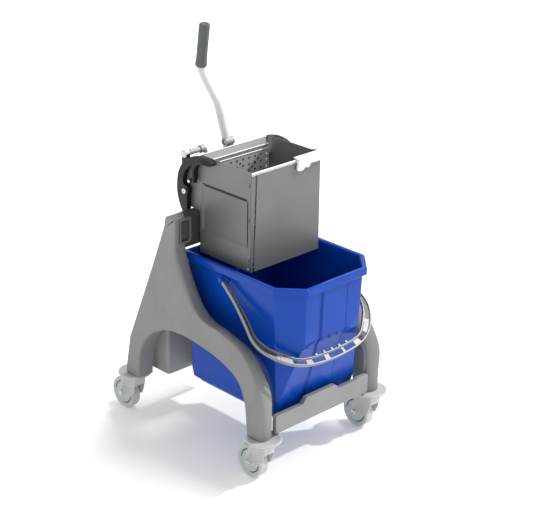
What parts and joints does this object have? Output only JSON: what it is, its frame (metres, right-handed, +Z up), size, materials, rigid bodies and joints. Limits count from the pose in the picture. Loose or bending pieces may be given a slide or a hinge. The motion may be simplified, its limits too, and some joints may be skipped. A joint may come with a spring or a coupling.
{
  "type": "mop bucket trolley with lever wringer",
  "caption": "Wheeled mop trolley: moulded side frames on swivel casters carry a blue bucket with a bail handle, a rear storage box and a hook-on steel lever wringer.",
  "frame": {"origin": "on the floor under the middle of the whole object's length, on the middle plane between the side frames", "axes": "+X to the right seen from the front, +Y towards the back where the wringer's lever is, +Z up"},
  "size_m": [0.4292, 0.5828, 0.9446],
  "materials": {
    "frame_grey": "moulded, satin",
    "caster_grey": "moulded, satin",
    "wheel_disc": "pale, slightly translucent look",
    "tyre_grey": "smooth grey rubber",
    "bucket_blue": "glossy injection moulding",
    "bail_silver": "silver-grey plastic",
    "wringer_steel": "fine satin stainless sheet",
    "bright_steel": "bright machined steel",
    "press_grey": "perforated sheet, satin",
    "clip_white": "white moulding",
    "arm_black": "black moulding",
    "grip_slate": "slate-grey grip"
  },
  "bodies": {
    "trolley": {"side_frame_left": "frame_grey", "side_frame_right": "frame_grey", "front_crossbar": "frame_grey", "rear_crossbeam": "frame_grey", "rear_box": "frame_grey", "bumper_front_left": "caster_grey", "bumper_front_right": "caster_grey", "bumper_rear_left": "caster_grey", "bumper_rear_right": "caster_grey", "bucket": "bucket_blue", "bail_pivot_left": "bucket_blue", "bail_pivot_right": "bucket_blue"},
    "bail": {"bail_handle": "bail_silver"},
    "wringer": {"wringer_side_left": "wringer_steel", "wringer_side_right": "wringer_steel", "wringer_front": "wringer_steel", "wringer_back": "wringer_steel", "wringer_floor": "wringer_steel", "wringer_rod": "bright_steel", "wringer_hook_left": "wringer_steel", "wringer_hook_right": "wringer_steel", "pivot_bolt_left": "bright_steel", "pivot_bolt_right": "bright_steel", "hem_clip": "clip_white"},
    "press": {"press_plate": "press_grey", "press_pin_left": "bright_steel", "press_pin_right": "bright_steel"},
    "lever": {"cam_arm_left": "arm_black", "cam_arm_right": "arm_black", "lever_shaft": "bright_steel", "shaft_collar": "bright_steel", "lever_socket": "bright_steel", "lever_tube": "clip_white", "lever_grip": "grip_slate"},
    "caster_front_left": {"fork_front_left": "caster_grey", "axle_front_left": "bright_steel"},
    "wheel_front_left": {"hub_front_left": "wheel_disc", "tyre_front_left": "tyre_grey"},
    "caster_front_right": {"fork_front_right": "caster_grey", "axle_front_right": "bright_steel"},
    "wheel_front_right": {"hub_front_right": "wheel_disc", "tyre_front_right": "tyre_grey"},
    "caster_rear_left": {"fork_rear_left": "caster_grey", "axle_rear_left": "bright_steel"},
    "wheel_rear_left": {"hub_rear_left": "wheel_disc", "tyre_rear_left": "tyre_grey"},
    "caster_rear_right": {"fork_rear_right": "caster_grey", "axle_rear_right": "bright_steel"},
    "wheel_rear_right": {"hub_rear_right": "wheel_disc", "tyre_rear_right": "tyre_grey"}
  },
  "joints": [
    {"name": "bail_hinge", "type": "hinge", "parent": "trolley", "child": "bail", "pos_m": [0, -0.06678, 0.431], "axis": [-1, 0, 0], "range_deg": [0, 104]},
    {"name": "wringer_lift", "type": "slide", "parent": "trolley", "child": "wringer", "axis": [0, 0, 1], "range_m": [0, 0.3]},
    {"name": "lever_hinge", "type": "hinge", "parent": "wringer", "child": "lever", "pos_m": [0, 0.08672, 0.593], "axis": [1, 0, 0], "range_deg": [0, 20]},
    {"name": "press_slide", "type": "slide", "parent": "wringer", "child": "press", "axis": [0, -1, 0], "range_m": [0, 0.015]},
    {"name": "swivel_front_left", "type": "hinge", "parent": "trolley", "child": "caster_front_left", "pos_m": [-0.1736, -0.23598, 0.102], "axis": [0, 0, 1], "continuous": true},
    {"name": "spin_front_left", "type": "hinge", "parent": "caster_front_left", "child": "wheel_front_left", "pos_m": [-0.1736, -0.20098, 0.04], "axis": [1, 0, 0], "continuous": true},
    {"name": "swivel_front_right", "type": "hinge", "parent": "trolley", "child": "caster_front_right", "pos_m": [0.1736, -0.23598, 0.102], "axis": [0, 0, 1], "continuous": true},
    {"name": "spin_front_right", "type": "hinge", "parent": "caster_front_right", "child": "wheel_front_right", "pos_m": [0.1736, -0.20098, 0.04], "axis": [1, 0, 0], "continuous": true},
    {"name": "swivel_rear_left", "type": "hinge", "parent": "trolley", "child": "caster_rear_left", "pos_m": [-0.1736, 0.21642, 0.102], "axis": [0, 0, 1], "continuous": true},
    {"name": "spin_rear_left", "type": "hinge", "parent": "caster_rear_left", "child": "wheel_rear_left", "pos_m": [-0.1736, 0.25142, 0.04], "axis": [1, 0, 0], "continuous": true},
    {"name": "swivel_rear_right", "type": "hinge", "parent": "trolley", "child": "caster_rear_right", "pos_m": [0.1736, 0.21642, 0.102], "axis": [0, 0, 1], "continuous": true},
    {"name": "spin_rear_right", "type": "hinge", "parent": "caster_rear_right", "child": "wheel_rear_right", "pos_m": [0.1736, 0.25142, 0.04], "axis": [1, 0, 0], "continuous": true}
  ],
  "couplings": [
    {"joint": "press_slide", "follows": "lever_hinge", "m_per_rad": 0.04297}
  ]
}
